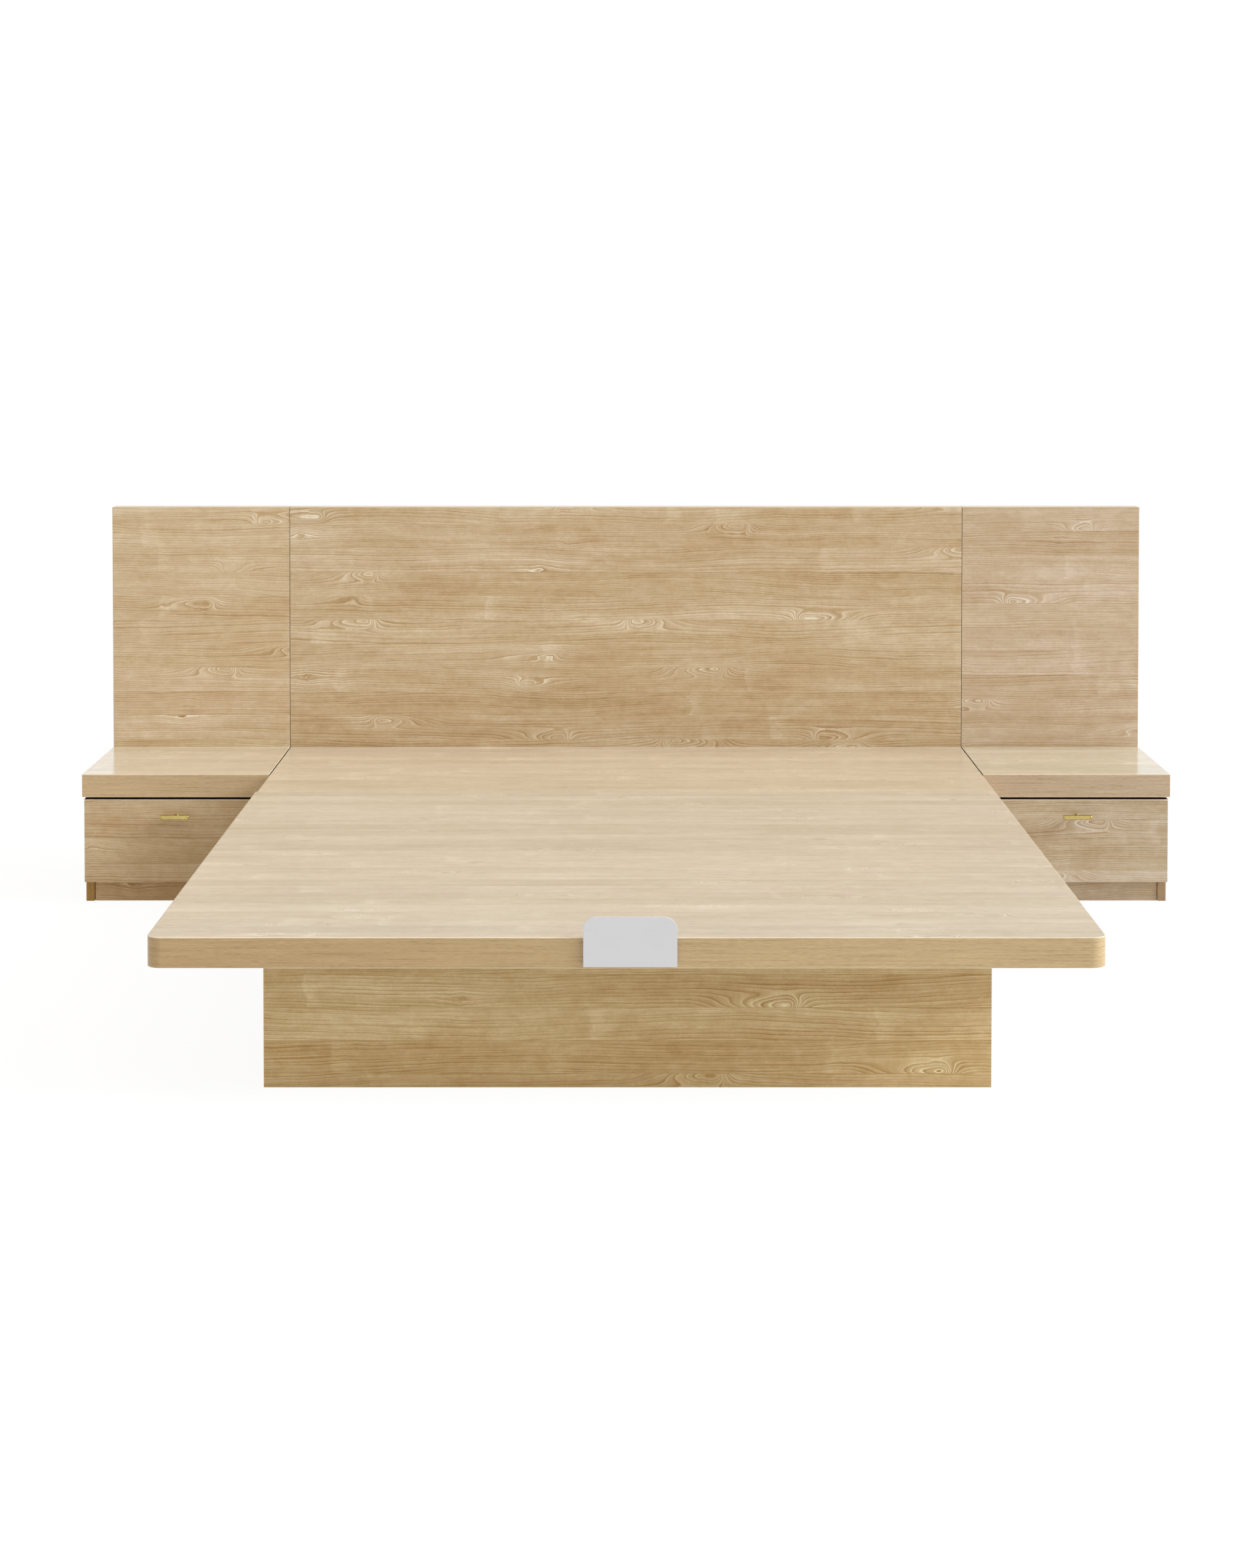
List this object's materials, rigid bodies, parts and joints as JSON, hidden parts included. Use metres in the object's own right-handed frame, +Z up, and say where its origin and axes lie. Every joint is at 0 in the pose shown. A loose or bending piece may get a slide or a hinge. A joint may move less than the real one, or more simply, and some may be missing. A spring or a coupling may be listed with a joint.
{
  "type": "platform bed with attached nightstands",
  "caption": "Low platform bed with a long panelled headboard, a pedestal base, a mattress stop at the foot and a drawer nightstand at each side.",
  "frame": {"origin": "on the floor under the centre of the whole piece", "axes": "+X to the right seen from the foot, +Y from the foot to the headboard, +Z up"},
  "size_m": [2.371, 2.106, 0.838],
  "materials": {
    "laminate_upright": "satin, horizontal oak grain",
    "laminate_top": "satin, pale oak grain",
    "edge_banding": "satin, fine straight grain",
    "raw_board": "unfinished softwood strips and board",
    "drawer_board": "matt pale board",
    "stop_paint": "fine matt powder coat",
    "zinc_plate": "zinc plated",
    "satin_brass": "satin"
  },
  "bodies": {
    "root": {"headboard_centre_board": "laminate_upright", "headboard_centre_frame": "raw_board", "headboard_left_board": "laminate_upright", "headboard_left_frame": "raw_board", "headboard_right_board": "laminate_upright", "headboard_right_frame": "raw_board", "headboard_edging": "edge_banding", "splice_plates": "zinc_plate", "headboard_brackets": "zinc_plate", "deck_head_board": "laminate_top", "deck_head_frame": "raw_board", "deck_foot_board": "laminate_top", "deck_foot_frame": "raw_board", "deck_edging": "edge_banding", "pedestal_front_board": "laminate_upright", "pedestal_left_board": "laminate_upright", "pedestal_right_board": "laminate_upright", "pedestal_rear_board": "laminate_upright", "pedestal_spine_board": "raw_board", "pedestal_front_cross_boards": "raw_board", "pedestal_rear_cross_boards": "raw_board", "pedestal_brackets": "zinc_plate", "deck_brackets": "zinc_plate", "mattress_stop": "stop_paint", "frame_screws": "zinc_plate", "connector_bolts": "zinc_plate", "left_top_board": "laminate_top", "left_top_frame": "raw_board", "left_top_edging": "edge_banding", "left_outer_side": "laminate_upright", "left_inner_side": "laminate_upright", "left_back_board": "raw_board", "left_floor_board": "laminate_upright", "left_kickboard": "laminate_upright", "left_cabinet_runners": "zinc_plate", "right_top_board": "laminate_top", "right_top_frame": "raw_board", "right_top_edging": "edge_banding", "right_outer_side": "laminate_upright", "right_inner_side": "laminate_upright", "right_back_board": "raw_board", "right_floor_board": "laminate_upright", "right_kickboard": "laminate_upright", "right_cabinet_runners": "zinc_plate"},
    "left_drawer": {"left_drawer_front": "laminate_upright", "left_drawer_sides": "drawer_board", "left_drawer_back": "drawer_board", "left_drawer_bottom": "drawer_board", "left_drawer_runners": "zinc_plate", "left_drawer_fasteners": "zinc_plate", "left_pull": "satin_brass"},
    "left_middle_runners": {"left_middle_runners": "zinc_plate"},
    "right_drawer": {"right_drawer_front": "laminate_upright", "right_drawer_sides": "drawer_board", "right_drawer_back": "drawer_board", "right_drawer_bottom": "drawer_board", "right_drawer_runners": "zinc_plate", "right_drawer_fasteners": "zinc_plate", "right_pull": "satin_brass"},
    "right_middle_runners": {"right_middle_runners": "zinc_plate"}
  },
  "joints": [
    {"name": "left_drawer_slide", "type": "slide", "parent": "root", "child": "left_drawer", "axis": [0, -1, 0], "range_m": [0, 0.34]},
    {"name": "left_middle_runner_slide", "type": "slide", "parent": "root", "child": "left_middle_runners", "axis": [0, -1, 0], "range_m": [0, 0.17]},
    {"name": "right_drawer_slide", "type": "slide", "parent": "root", "child": "right_drawer", "axis": [0, -1, 0], "range_m": [0, 0.34]},
    {"name": "right_middle_runner_slide", "type": "slide", "parent": "root", "child": "right_middle_runners", "axis": [0, -1, 0], "range_m": [0, 0.17]}
  ],
  "couplings": [
    {"joint": "left_middle_runner_slide", "follows": "left_drawer_slide", "ratio": 0.5},
    {"joint": "right_middle_runner_slide", "follows": "right_drawer_slide", "ratio": 0.5}
  ]
}
